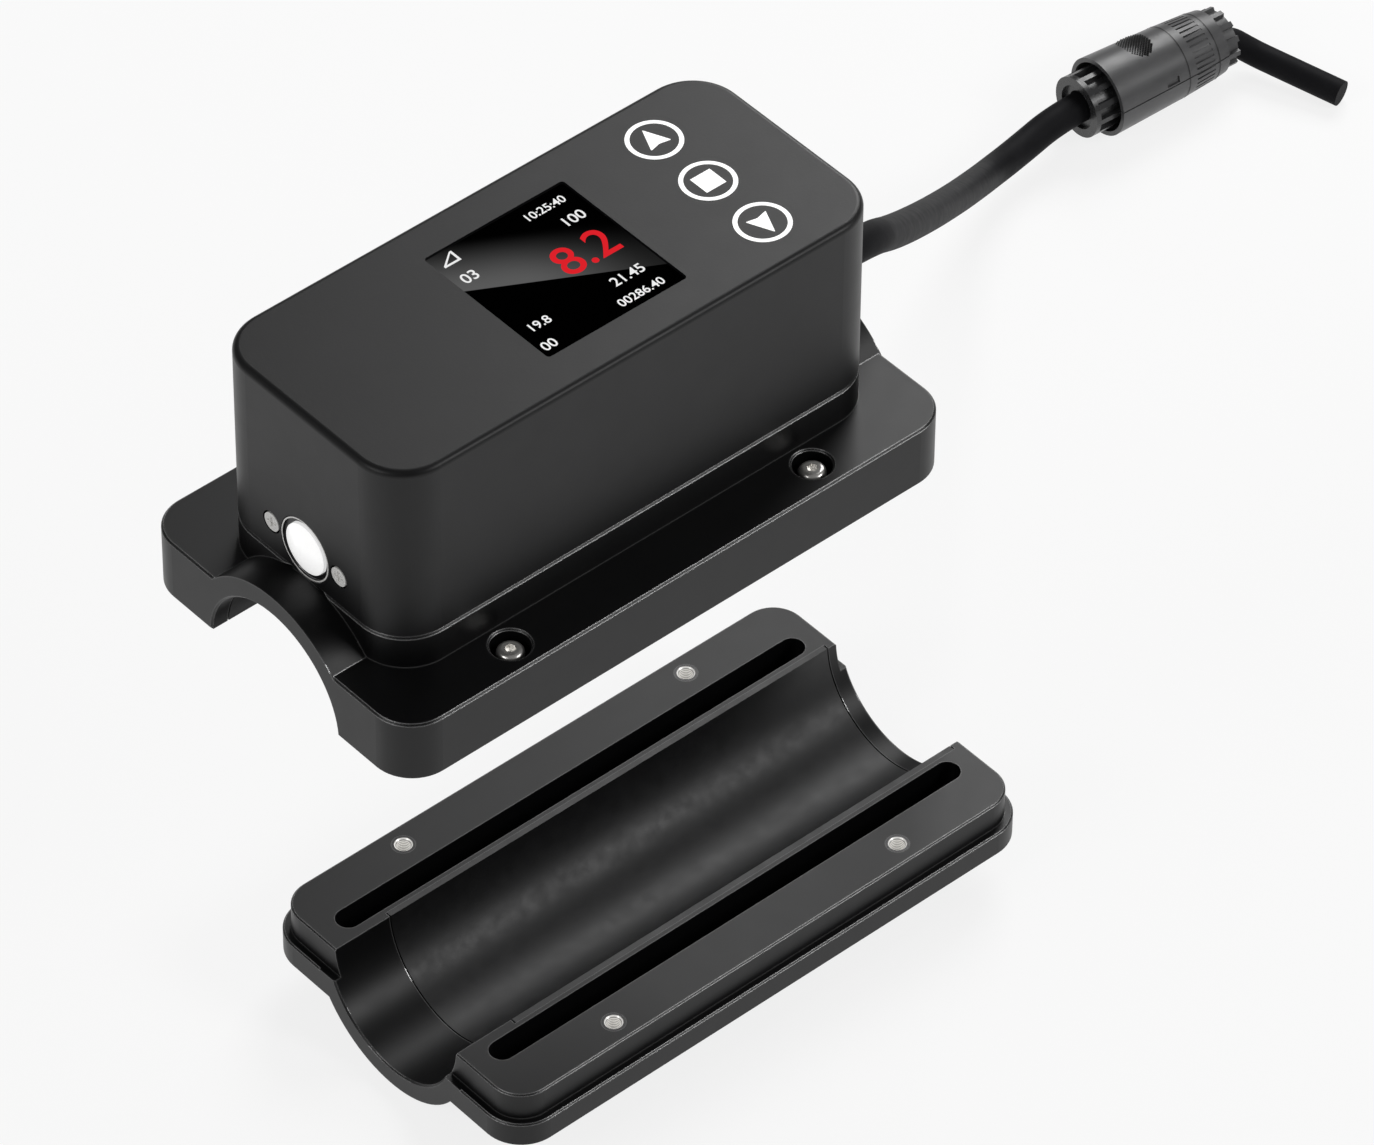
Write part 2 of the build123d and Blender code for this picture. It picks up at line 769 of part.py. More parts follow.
def seam_grooves(start, end, radius):
    """Two fine grooves along the X axis where the mould's halves met."""
    grooves = Part()
    for turn in (seam_turn, seam_turn + 180):
        cut = block((start, end), (-seam_groove_width / 2, seam_groove_width / 2),
                    (radius - seam_groove_depth, radius + past))
        grooves += Rot(turn, 0, 0) * cut
    return grooves


def socket_shell():
    """Barrel of the socket half: open mouth, inner thread tube and a spigot for the ring."""
    body = turned([
        (barrel_start, 0), (barrel_start, barrel_mouth_radius), (barrel_end, barrel_end_radius),
        (barrel_end, spigot_radius), (socket_end, spigot_radius), (socket_end, 0),
    ])
    mouth = turned([
        (barrel_start - past, 0), (barrel_start - past, barrel_mouth_radius - barrel_wall),
        (web_start, barrel_end_radius - barrel_wall), (web_start, 0),
    ])
    body -= mouth
    body += rod_x(thread_tube_radius, barrel_start, web_start + socket_web / 2)
    body -= rod_x(lead_radius + cord_clearance, barrel_start - past, web_start + socket_web)
    body -= rod_x(insert_core_radius, web_start + socket_web, socket_end + past)
    body -= seam_grooves(barrel_start, barrel_end, barrel_end_radius)
    latch = block((latch_start, latch_start + latch_length), (-latch_width / 2, latch_width / 2),
                  (barrel_end_radius - latch_depth, barrel_mouth_radius))
    return on_connector(body - Rot(latch_turn, 0, 0) * latch)


def contacts(radius, start, end):
    """Round pins or holes on the contact circle."""
    group = Part()
    for place in range(contact_count):
        turn = Rot(place * 360 / contact_count, 0, 0)
        group += turn * rod_x(radius, start, end, 0, contact_circle)
    return group


def socket_insert():
    """Insulator with the contact holes."""
    core = rod_x(insert_core_radius, web_start + socket_web, socket_end)
    holes = contacts(contact_radius + contact_clearance, socket_end - contact_length, socket_end)
    return on_connector(core - holes)


def coupling_ring():
    """Ribbed ring that locks the two halves."""
    ring = turned([
        (ring_start, 0), (ring_start, barrel_end_radius), (ring_end, ring_end_radius), (ring_end, 0),
    ])
    taper = barrel_end_radius - ring_end_radius
    groove = Box(ring_length * ring_groove_share, ring_groove_width, 2 * ring_rib_depth + taper)
    groove = Pos(ring_start + ring_length * ring_groove_middle, 0, barrel_end_radius) * groove
    for place in range(ring_rib_count):
        ring -= Rot(place * 360 / ring_rib_count, 0, 0) * groove
    ring -= seam_grooves(ring_start, ring_end, ring_end_radius)
    return on_connector(ring - rod_x(spigot_radius + running_clearance, ring_start - past, ring_end + past))


def plug_shell():
    """Collar of the plug half, with the neck that carries the ring and a thread tube behind."""
    body = turned([
        (plug_face, 0), (plug_face, spigot_radius), (collar_start, spigot_radius),
        (collar_start, ring_end_radius), (collar_end, collar_end_radius), (collar_end, plug_tube_radius),
        (plug_tube_end, plug_tube_radius), (plug_tube_end, 0),
    ])
    body -= rod_x(insert_core_radius, plug_face - past, plug_core_end)
    body -= rod_x(supply_radius + cord_clearance, plug_core_end, plug_tube_end + past)
    return on_connector(body - seam_grooves(collar_start, collar_end, collar_end_radius))


def plug_insert():
    """Insulator with the contact pins, which the supply cord meets from behind."""
    core = rod_x(insert_core_radius, plug_face, plug_core_end)
    pins = contacts(contact_radius, socket_end - contact_length + contact_end_gap, plug_face + contact_root)
    return on_connector(core + pins)


def plug_nut():
    """Ribbed nut at the far end, with a flared mouth that the supply cord bends out of."""
    nut = rod_x(plug_nut_core_radius, collar_end, plug_nut_end)
    root = plug_nut_core_radius - rib_root
    nut += ribs(nut_rib_count, root, plug_nut_rib_radius, nut_rib_width, collar_end, plug_nut_end)
    nut -= rod_x(plug_tube_radius, collar_end - past, plug_tube_end)
    mouth = turned([
        (plug_tube_end - past, 0), (plug_tube_end - past, plug_mouth_inner_radius),
        (plug_tube_end, plug_mouth_inner_radius), (plug_nut_end, plug_mouth_radius), (plug_nut_end, 0),
    ])
    return on_connector(nut - mouth)


def bend_radii(route):
    """Radius of each corner's arc: bend_share of its shorter run over the tangent of half its turn."""
    points = [Vector(*point) for point in route]
    radii = []
    for before, corner, after in zip(points, points[1:], points[2:]):
        run_in = corner - before
        run_out = after - corner
        half_turn = math.radians(run_in.get_angle(run_out)) / 2
        radii.append(bend_share * min(run_in.length, run_out.length) / math.tan(half_turn))
    return radii


def cord(name, route, radius):
    """Round cord along straight runs and tangent arcs."""
    radii = bend_radii(route)
    path = FilletPolyline(*route, radius=radii)
    start = Plane(origin=path @ 0, z_dir=path % 0)
    tube = sweep(start * Circle(radius), path=path)
    share = tube.volume / (math.pi * radius**2 * path.length)
    print(name, "radii", [round(value, 1) for value in radii], "length", round(path.length, 1),
          "volume share", round(share, 4))
    return tube


def meter_lead():
    """Lead from the gland, down and away to the connector."""
    return cord("meter_lead", lead_route, lead_radius)


def supply_lead():
    """Supply cord from the connector to its cut end."""
    return cord("supply_lead", supply_route, supply_radius)


def write(name, shape):
    """Write one piece, or a group of like pieces, to its own file."""
    shape = Compound(children=list(shape)) if isinstance(shape, list) else shape
    export_step(shape, f"parts/{name}.step")


pieces = {
    "upper_saddle": upper_saddle,
    "upper_coupling_pad": upper_pad,
    "housing_shell": housing_shell,
    "housing_gasket": lambda: gasket_ring(seam_z - gasket_depth, seam_z),
    "housing_screws": housing_screws,
    "display_window": display_window,
    "display_module": display_module,
    "touch_board": touch_board,
    "front_transducer_wedge": lambda: wedge(-1),
    "rear_transducer_wedge": lambda: wedge(1),
    "front_piezo_disc": lambda: piezo_disc(-1),
    "rear_piezo_disc": lambda: piezo_disc(1),
    "temperature_probe": temperature_probe,
    "main_board": main_board,
    "board_spacers": board_spacers,
    "lamp_bezel": lamp_bezel,
    "lamp_lens": lamp_lens,
    "lamp_carrier": lamp_carrier,
    "lamp_board": lamp_board,
    "lamp_screws": lamp_screws,
    "cable_gland": cable_gland,
    "gland_seal": gland_seal,
    "gland_nut": gland_nut,
    "gland_locknut": gland_locknut,
    "meter_lead": meter_lead,
    "socket_nut": socket_nut,
    "socket_seal": socket_seal,
    "socket_shell": socket_shell,
    "socket_insert": socket_insert,
    "coupling_ring": coupling_ring,
    "plug_shell": plug_shell,
    "plug_insert": plug_insert,
    "plug_nut": plug_nut,
    "supply_lead": supply_lead,
    "clamp_screw_front_left": lambda: clamp_screw(-screw_x, -screw_y),
    "clamp_screw_front_right": lambda: clamp_screw(screw_x, -screw_y),
    "clamp_screw_back_left": lambda: clamp_screw(-screw_x, screw_y),
    "clamp_screw_back_right": lambda: clamp_screw(screw_x, screw_y),
    "lower_clamp": lower_clamp,
    "lower_coupling_pad": lower_pad,
    "threaded_inserts": threaded_inserts,
}

os.makedirs("parts", exist_ok=True)
for piece_name, make in pieces.items():
    write(piece_name, make())
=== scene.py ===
import math
import json
import bmesh
import bpy
from mathutils import Matrix, Vector


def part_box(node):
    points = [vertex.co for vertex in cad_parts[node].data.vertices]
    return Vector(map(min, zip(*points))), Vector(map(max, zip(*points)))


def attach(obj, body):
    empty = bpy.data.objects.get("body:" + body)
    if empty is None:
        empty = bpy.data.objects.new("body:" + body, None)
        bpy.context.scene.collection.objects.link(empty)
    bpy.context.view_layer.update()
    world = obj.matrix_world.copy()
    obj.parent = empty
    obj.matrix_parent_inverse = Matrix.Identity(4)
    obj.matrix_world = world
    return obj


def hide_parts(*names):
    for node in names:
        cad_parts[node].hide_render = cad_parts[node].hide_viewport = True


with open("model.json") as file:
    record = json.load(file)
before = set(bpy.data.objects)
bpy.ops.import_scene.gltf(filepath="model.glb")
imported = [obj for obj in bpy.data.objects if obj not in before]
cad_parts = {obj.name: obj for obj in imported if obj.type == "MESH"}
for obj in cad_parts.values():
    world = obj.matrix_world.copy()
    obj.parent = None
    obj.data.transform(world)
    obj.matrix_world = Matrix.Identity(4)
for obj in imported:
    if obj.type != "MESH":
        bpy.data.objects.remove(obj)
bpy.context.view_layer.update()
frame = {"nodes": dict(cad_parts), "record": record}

MM = 0.001

# Heights and places, in metres, taken from the frame
HOUSING_LOW, HOUSING_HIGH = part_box("housing_shell")
LENS_LOW, LENS_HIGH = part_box("lamp_lens")
LENS_MIDDLE = (LENS_LOW + LENS_HIGH) / 2
PANE_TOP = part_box("display_window")[1].z
FLOOR_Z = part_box("lower_clamp")[0].z
SEAM_Z = HOUSING_LOW.z

# Camera, as the photograph sees the meter: degrees, metres, and its lens and sensor in millimetres
CAMERA_AZIMUTH = -41.59
CAMERA_ELEVATION = 43.83
CAMERA_ROLL = 0.61
CAMERA_DISTANCE = 1.73672
CAMERA_RIGHT = 0.02645
CAMERA_UP = -0.01052
CAMERA_AIM_HEIGHT = 0.001
CAMERA_LENS = 232.84
CAMERA_SENSOR = 36.0
CAMERA_REACH = 20.0

# Studio: paper floor, surroundings, and soft lamps as name, place, width, height and watts
FLOOR_HALF_SIDE = 6.0
FLOOR_GLOW = 0.82
SURROUNDINGS_FILL = 0.16
LAMP_AIM = Vector((0.05, 0.0, 0.0))
STUDIO_LAMPS = (
    ("right_softbox", (1.06, 0.61, 0.86), 0.7, 0.7, 12.0),
    ("left_softbox", (-1.3, 0.1, 0.9), 0.7, 0.7, 5.0),
    ("front_softbox", (0.75, -1.1, 0.85), 0.6, 0.5, 7.0),
)

# Touch keys printed on the housing: rings, a square, and arrows given from their middles
KEY_X = 39.9 * MM
KEY_PITCH = 15.8 * MM
KEY_RING_OUTER = 5.8 * MM
KEY_RING_WIDTH = 0.98 * MM
KEY_SQUARE_HALF = 2.5 * MM
ARROW_TIP = 3.7 * MM
ARROW_FOOT = -2.1 * MM
ARROW_NOTCH = -1.5 * MM
ARROW_HALF_WIDTH = 2.6 * MM
ARROW_ROUND = 0.35 * MM
ARROW_ROUND_STEPS = 4
PRINT_THICKNESS = 0.01 * MM
RING_SIDES = 72

# Machined rim round the lamp's hole
LAMP_RIM_OUTER = 7.0 * MM
LAMP_RIM_WIDTH = 0.3 * MM

# Connector: the barrel's face and the way its axis points, in plan
CONNECTOR_FACE = Vector((260.8, 122.7, -120.2)) * MM
CONNECTOR_YAW = math.radians(-4.41)
BARREL_RADIUS = 9.2 * MM

# Pressed grip patch on the barrel: turns in degrees from the top
GRIP_STATION = 17.7 * MM
GRIP_TURN = -12.0
GRIP_HALF_TURN = 32.0
GRIP_HALF_LENGTH = 3.6 * MM
GRIP_STEP = 0.8 * MM
GRIP_TURN_STEP = 2.6
GRIP_REACH = 0.48
GRIP_TURN_REACH = 0.95
GRIP_HEIGHT = 0.3 * MM

# Joint lines of the coupling ring: station along the connector and radius
JOINT_LINES = ((26.0 * MM, 8.96 * MM), (35.2 * MM, 8.36 * MM))
JOINT_LINE_WIDTH = 0.3 * MM
JOINT_LINE_TURN_STEP = 4

# Lit figures on the screen: text, height and middle, in millimetres
FIGURE_RELIEF = 0.03 * MM
FIGURE_BODY = 1.43
FIGURE_WELD = 0.001 * MM
BIG_FIGURES = (("8.2", 8.0, 9.0, 0.2),)
BIG_FIGURE_WEIGHT = 0.06
SMALL_FIGURES = (
    ("10:25:40", 2.05, 11.2, 14.9), ("100", 2.6, 13.6, 9.2), ("21.45", 2.5, 10.9, -9.9),
    ("00286.40", 2.1, 9.7, -15.2), ("03", 2.7, -12.2, 9.3), ("19.8", 2.2, -10.9, -9.4),
    ("00", 2.4, -13.2, -15.1),
)
SMALL_FIGURE_WEIGHT = 0.03

# Three bars of the open triangle in the screen's corner, in millimetres
TRIANGLE_BARS = (
    ((-14.2, 14.2), (-10.2, 14.2), (-10.2, 14.7), (-14.2, 14.7)),
    ((-10.7, 14.7), (-10.2, 14.7), (-10.2, 17.4), (-10.7, 17.0)),
    ((-14.2, 14.7), (-13.5, 14.7), (-10.2, 17.4), (-10.7, 17.4)),
)

# Leads: points in millimetres, exits and lengths in metres. The meter's lead lies beside the part's tube,
# as seen in the photograph
LEAD_POINTS = (
    (60.0, -3.6, 31.0), (79.0, -3.6, 31.0), (98.4, 10.5, 11.5), (137.1, 41.4, -27.3), (188.4, 85.4, -80.8),
    (214.5, 106.4, -105.7), (227.1, 116.6, -117.7), (241.2, 121.7, -122.2), (256.3, 123.05, -120.2),
    (269.37, 122.04, -120.2),
)
LEAD_DIAMETER = 7.2 * MM
SUPPLY_POINTS = (
    (295.9, 119.99, -120.2), (303.3, 119.42, -120.2), (308.0, 114.1, -124.5), (309.6, 107.8, -124.7),
    (312.5, 100.0, -125.8), (315.1, 92.1, -126.6),
)
SUPPLY_DIAMETER = 6.2 * MM
CORD_STEPS = 12
CORD_ROUNDNESS = 10

# Grain of the finishes: sizes in millimetres, depth in metres, and the part of the noise that is spread out.
# The grit of blasting, powder and moulding is really near 0.1 mm. It is drawn coarser, from 0.3 mm up, so that
# it shows
NOISE_LOW = 0.3
NOISE_HIGH = 0.7
COAT_CLOUD = 14.0
COAT_GLOSS_CLOUD = 5.0
COAT_GLOSS_SPREAD = 0.012
MOULD_CLOUD = 6.0
FINE_CLOUD = 3.0
GRIT_DEPTH = 0.02 * MM

# Cut edges: metal colour, partly real cut metal and partly painted highlight, most on the chamfers, which face
# up at 45 degrees, a little on other sharp edges.
# The turn is the cosine between the rounded and the true normal
EDGE_COLOUR = "#d6d6d6"
EDGE_RADIUS = 0.45 * MM
EDGE_SHARE = 0.9
EDGE_FULL_TURN = 0.86
EDGE_NO_TURN = 0.985
CHAMFER_FACING = 0.707
CHAMFER_SPREAD = 0.04
SHARP_EDGE_SHARE = 0.22

# Heights in millimetres up to which a coat's edges take the metal colour and its painted highlight: all of
# them, or the seam's own edge alone
EVERY_HEIGHT = 1000.0
SEAM_EDGE = 2.0
SEAM_EDGE_TOP = SEAM_Z / MM + SEAM_EDGE

# Painted grey sheen of the screen, a glow standing in for a lamp's reflection on the glass, in millimetres:
# its slanting foot line, its depth and where it thins out
SHEEN_SLOPE = -0.557
SHEEN_FOOT = -1.9
SHEEN_FOOT_BLUR = 0.08
SHEEN_DEPTH = 17.0
SHEEN_THINS_FROM = -6.0
SHEEN_THINS_TO = 20.0
SHEEN_LEFT_OVER = 0.12
PAINTED_SHEEN_STRENGTH = 0.1

# Painted light and shade of the inserts' thread at its real pitch, in millimetres, as bands from crest to
# crest: lit crests and a shaded root
THREAD_PITCH = 0.5
THREAD_LIGHT_AND_SHADE_BANDS = ((0.0, "#f6f5f2"), (0.45, "#e2e0dc"), (0.75, "#5a5956"), (1.0, "#f6f5f2"))
# Painted shade on the inserts' sunk rim, on the faces that turn upwards
INSERT_RIM_SHADE = "#1c1c1d"
RIM_FACING_LOW = 0.85
RIM_FACING_HIGH = 0.95

# Colour sockets of a mix node: its two inputs and its output
MIX_FIRST = 6
MIX_SECOND = 7
MIX_OUT = 2


def linear(code):
    """Turn an sRGB hex colour into the linear one that a shader takes."""
    parts = [int(code[i:i + 2], 16) / 255 for i in (1, 3, 5)]
    return tuple(c / 12.92 if c <= 0.04045 else ((c + 0.055) / 1.055) ** 2.4 for c in parts) + (1.0,)


def add(tree, kind, inputs=None, **settings):
    """Add a node with its settings, its constants and its links."""
    node = tree.nodes.new(kind)
    for name, value in settings.items():
        setattr(node, name, value)
    for name, value in (inputs or {}).items():
        if isinstance(value, bpy.types.NodeSocket):
            tree.links.new(value, node.inputs[name])
        else:
            node.inputs[name].default_value = value
    return node


def new_material(name):
    """Empty material with its output node."""
    material = bpy.data.materials.new(name)
    material.use_nodes = True
    tree = material.node_tree
    tree.nodes.clear()
    return material, tree, tree.nodes.new("ShaderNodeOutputMaterial")


def place_mm(tree):
    """Object coordinates in millimetres."""
    coordinates = add(tree, "ShaderNodeTexCoord")
    scaled = add(tree, "ShaderNodeVectorMath", {0: coordinates.outputs["Object"], "Scale": 1 / MM},
                 operation="SCALE")
    return scaled.outputs[0]


def grain(tree, place, size, low, high):
    """Noise whose grains measure size millimetres, spread from low to high."""
    noise = add(tree, "ShaderNodeTexNoise", {"Vector": place, "Scale": 1 / size, "Detail": 3.0})
    spread = add(tree, "ShaderNodeMapRange", {"Value": noise.outputs[0], "From Min": NOISE_LOW,
                                              "From Max": NOISE_HIGH, "To Min": low, "To Max": high})
    return spread.outputs[0]


def two_shades(tree, place, size, shades):
    """Slow drift between the two shades of a finish."""
    drift = grain(tree, place, size, 0.0, 1.0)
    mix = add(tree, "ShaderNodeMix", {"Factor": drift, MIX_FIRST: linear(shades[0]),
                                      MIX_SECOND: linear(shades[1])}, data_type="RGBA")
    return mix.outputs[MIX_OUT]


def fine_grit(tree, place, size, strength):
    """Normal roughened by grains of size millimetres."""
    height = add(tree, "ShaderNodeTexNoise", {"Vector": place, "Scale": 1 / size, "Detail": 2.0})
    relief = add(tree, "ShaderNodeBump", {"Height": height.outputs[0], "Strength": strength,
                                          "Distance": GRIT_DEPTH})
    return relief.outputs[0]


def bare_and_highlit_edges(tree):
    """Share of cut-metal colour, partly painted highlight: most on chamfers facing up at 45 degrees, slight on
    other sharp edges, none on flats.
    """
    softened = add(tree, "ShaderNodeBevel", {"Radius": EDGE_RADIUS}, samples=4)
    surface = add(tree, "ShaderNodeNewGeometry")
    turn = add(tree, "ShaderNodeVectorMath", {0: softened.outputs[0], 1: surface.outputs["True Normal"]},
               operation="DOT_PRODUCT")
    sharp = add(tree, "ShaderNodeMapRange", {"Value": turn.outputs["Value"], "From Min": EDGE_NO_TURN,
                                             "From Max": EDGE_FULL_TURN, "To Min": 0.0, "To Max": 1.0})
    facing = add(tree, "ShaderNodeSeparateXYZ", {0: surface.outputs["True Normal"]})
    chamfer = add(tree, "ShaderNodeMath", {0: facing.outputs[2], 1: CHAMFER_FACING, 2: CHAMFER_SPREAD},
                  operation="COMPARE")
    share = add(tree, "ShaderNodeMath", {0: chamfer.outputs[0], 1: 1 - SHARP_EDGE_SHARE,
                                         2: SHARP_EDGE_SHARE}, operation="MULTIPLY_ADD")
    bare_and_lit = add(tree, "ShaderNodeMath", {0: sharp.outputs[0], 1: share.outputs[0]}, operation="MULTIPLY")
    return bare_and_lit.outputs[0]


def coated_metal(name, shades, grit, roughness, bump, edge_top):
    """Dark finish over metal: fine grit, even gloss and bright cut edges, partly painted highlight, below a
    height in millimetres.
    """
    material, tree, output = new_material(name)
    place = place_mm(tree)
    parts = add(tree, "ShaderNodeSeparateXYZ", {0: place})
    low = add(tree, "ShaderNodeMath", {0: parts.outputs[2], 1: edge_top}, operation="LESS_THAN")
    # Share of cut-metal colour on the edges, partly a painted highlight on chamfers facing up
    bare_and_lit_share = add(tree, "ShaderNodeMath", {0: bare_and_highlit_edges(tree), 1: EDGE_SHARE}, operation="MULTIPLY")
    bare_and_lit_share = add(tree, "ShaderNodeMath", {0: bare_and_lit_share.outputs[0], 1: low.outputs[0]}, operation="MULTIPLY")
    colour = add(tree, "ShaderNodeMix", {
        "Factor": bare_and_lit_share.outputs[0], MIX_FIRST: two_shades(tree, place, COAT_CLOUD, shades),
        MIX_SECOND: linear(EDGE_COLOUR)}, data_type="RGBA")
    shader = add(tree, "ShaderNodeBsdfPrincipled", {
        "Base Color": colour.outputs[MIX_OUT], "Normal": fine_grit(tree, place, grit, bump),
        "Metallic": bare_and_lit_share.outputs[0], "Specular IOR Level": 0.32,
        "Roughness": grain(tree, place, COAT_GLOSS_CLOUD, roughness - COAT_GLOSS_SPREAD,
                           roughness + COAT_GLOSS_SPREAD)})
    tree.links.new(shader.outputs[0], output.inputs[0])
    return material


def plain_finish(name, shades, roughness, grit=0.4, bump=0.15, metallic=0.0, variation=0.04, **extra):
    """Moulded, turned or fired surface with its own grain."""
    material, tree, output = new_material(name)
    place = place_mm(tree)
    inputs = {"Base Color": two_shades(tree, place, MOULD_CLOUD, shades),
              "Normal": fine_grit(tree, place, grit, bump), "Metallic": metallic,
              "Roughness": grain(tree, place, FINE_CLOUD, roughness - variation, roughness + variation)}
    inputs.update({key.replace("_", " "): value for key, value in extra.items()})
    shader = add(tree, "ShaderNodeBsdfPrincipled", inputs)
    tree.links.new(shader.outputs[0], output.inputs[0])
    return material


def screen_glass():
    """Glass printed black behind, with a painted grey sheen, a glow standing in for a reflection, that ends at
    a slanting line.
    """
    material, tree, output = new_material("black_glass_painted_sheen")
    place = place_mm(tree)
    parts = add(tree, "ShaderNodeSeparateXYZ", {0: place})
    slope = add(tree, "ShaderNodeMath", {0: parts.outputs[0], 1: SHEEN_SLOPE}, operation="MULTIPLY")
    above = add(tree, "ShaderNodeMath", {0: parts.outputs[1], 1: slope.outputs[0]}, operation="SUBTRACT")
    above = add(tree, "ShaderNodeMath", {0: above.outputs[0], 1: SHEEN_FOOT}, operation="SUBTRACT")
    start = add(tree, "ShaderNodeMapRange", {"Value": above.outputs[0], "From Min": -SHEEN_FOOT_BLUR,
                                             "From Max": SHEEN_FOOT_BLUR})
    fade = add(tree, "ShaderNodeMapRange", {"Value": above.outputs[0], "From Min": 0.0,
                                            "From Max": SHEEN_DEPTH, "To Min": 1.0, "To Max": 0.0},
               interpolation_type="SMOOTHSTEP")
    along = add(tree, "ShaderNodeMapRange", {"Value": parts.outputs[0], "From Min": SHEEN_THINS_FROM,
                                             "From Max": SHEEN_THINS_TO, "To Min": 1.0,
                                             "To Max": SHEEN_LEFT_OVER}, interpolation_type="SMOOTHSTEP")
    share = add(tree, "ShaderNodeMath", {0: start.outputs[0], 1: fade.outputs[0]}, operation="MULTIPLY")
    share = add(tree, "ShaderNodeMath", {0: share.outputs[0], 1: along.outputs[0]}, operation="MULTIPLY")
    # Glow of the sheen: a painted reflection
    glow = add(tree, "ShaderNodeMath", {0: share.outputs[0], 1: PAINTED_SHEEN_STRENGTH}, operation="MULTIPLY")
    shader = add(tree, "ShaderNodeBsdfPrincipled", {
        "Base Color": linear("#010101"), "Emission Color": (1, 1, 1, 1),
        "Emission Strength": glow.outputs[0], "Specular IOR Level": 0.0,
        "Roughness": grain(tree, place, COAT_GLOSS_CLOUD, 0.04, 0.06)})
    tree.links.new(shader.outputs[0], output.inputs[0])
    return material


def threaded_steel():
    """Zinc-plated inserts: a bright bore with thread bands of painted light and shade, a sunk rim darkened by
    painted shade, and a painted glow.
    """
    material, tree, output = new_material("zinc_thread_painted_shading")
    place = place_mm(tree)
    parts = add(tree, "ShaderNodeSeparateXYZ", {0: place})
    rise = add(tree, "ShaderNodeMath", {0: parts.outputs[2], 1: THREAD_PITCH, 2: 0.0}, operation="WRAP")
    turn = add(tree, "ShaderNodeMath", {0: rise.outputs[0], 1: THREAD_PITCH}, operation="DIVIDE")
    bands = add(tree, "ShaderNodeValToRGB", {0: turn.outputs[0]})
    while len(bands.color_ramp.elements) < len(THREAD_LIGHT_AND_SHADE_BANDS):
        bands.color_ramp.elements.new(0.5)
    for band, (share, colour) in zip(bands.color_ramp.elements, THREAD_LIGHT_AND_SHADE_BANDS):
        band.position = share
        band.color = linear(colour)
    surface = add(tree, "ShaderNodeNewGeometry")
    facing = add(tree, "ShaderNodeSeparateXYZ", {0: surface.outputs["True Normal"]})
    rim = add(tree, "ShaderNodeMapRange", {"Value": facing.outputs[2], "From Min": RIM_FACING_LOW,
                                           "From Max": RIM_FACING_HIGH})
    colour = add(tree, "ShaderNodeMix", {"Factor": rim.outputs[0], MIX_FIRST: bands.outputs[0],
                                         MIX_SECOND: linear(INSERT_RIM_SHADE)}, data_type="RGBA")
    # The insert's colour also glows: painted light
    shader = add(tree, "ShaderNodeBsdfPrincipled", {
        "Base Color": colour.outputs[MIX_OUT], "Emission Color": colour.outputs[MIX_OUT],
        "Emission Strength": 0.3, "Metallic": 0.25,
        "Roughness": grain(tree, place, FINE_CLOUD, 0.26, 0.34)})
    tree.links.new(shader.outputs[0], output.inputs[0])
    return material


def lit_digits(name, colour, strength):
    """Lit part of the screen."""
    material, tree, output = new_material(name)
    shader = add(tree, "ShaderNodeBsdfPrincipled", {
        "Base Color": linear("#050505"), "Roughness": 0.5, "Specular IOR Level": 0.0,
        "Emission Color": linear(colour), "Emission Strength": strength})
    tree.links.new(shader.outputs[0], output.inputs[0])
    return material


# Blasted and anodised aluminium: deep black with a faint even grain and bright cut chamfers, partly painted
# highlight
ANODISED = coated_metal("blasted_anodised_aluminium", ("#0a0a0b", "#0d0d0e"), grit=0.35, roughness=0.4,
                        bump=0.1, edge_top=EVERY_HEIGHT)
# Powder-coated die casting: matt black, a touch paler than the saddle, with a metal-coloured edge, partly
# painted highlight, only at the seam
POWDER_COAT = coated_metal("powder_coated_casting", ("#0f0f10", "#131314"), grit=0.45, roughness=0.42,
                           bump=0.45, edge_top=SEAM_EDGE_TOP)
# Polished stainless steel: bright, with fine turning
STEEL = plain_finish("polished_stainless_steel", ("#e2e0dc", "#efede9"), 0.3, grit=0.6, bump=0.05,
                     metallic=0.88)
# Passivated steel of the small lamp screws: pale and satin
SATIN_STEEL = plain_finish("passivated_satin_steel", ("#f4f3f0", "#fbfaf8"), 0.4, grit=0.5, bump=0.06)
# Zinc-plated steel of the inserts: bright thread with painted light and shade and a painted glow, in a rim
# darkened by painted shade
THREADED_STEEL = threaded_steel()
# Turned brass of the board's spacers: warm and bright
BRASS = plain_finish("turned_brass", ("#a8863e", "#b8964c"), 0.28, grit=0.5, bump=0.1, metallic=1.0)
# Black-printed glass over the screen: deep black with a painted soft sheen that stands in for a reflection
GLASS = screen_glass()
# Opal acrylic of the lamp: white and softly shining
OPAL = plain_finish("opal_acrylic", ("#f4f4f2", "#fbfbfa"), 0.22, grit=4.0, bump=0.0, variation=0.03,
                    Emission_Color=linear("#ffffff"), Emission_Strength=0.55)
# Glass-filled nylon of the gland, pin carriers, lamp parts and grip patch: black with a soft gloss
NYLON = plain_finish("black_glass_filled_nylon", ("#131314", "#19191a"), 0.34, grit=0.3, bump=0.1)
# Nylon of the barrel, ring and far nut: charcoal, moulded satin
BARREL_NYLON = plain_finish("charcoal_moulded_nylon", ("#4a4a4b", "#525253"), 0.38, grit=0.3, bump=0.15)
# Nylon of the near nut: moulded with a shine that picks out its ribs
RIBBED_NYLON = plain_finish("shining_moulded_nylon", ("#2c2c2d", "#343435"), 0.26, grit=0.3, bump=0.08)
# Polyurethane cable sheath: matt black, faintly dusty
SHEATH = plain_finish("matt_polyurethane_sheath", ("#18181a", "#1d1d1f"), 0.6, grit=0.5, bump=0.2,
                      Specular_IOR_Level=0.07)
# Silicone of the pads and seals: black, smooth, soft gloss
SILICONE = plain_finish("black_silicone_pad", ("#101011", "#141415"), 0.46, grit=0.8, bump=0.08)
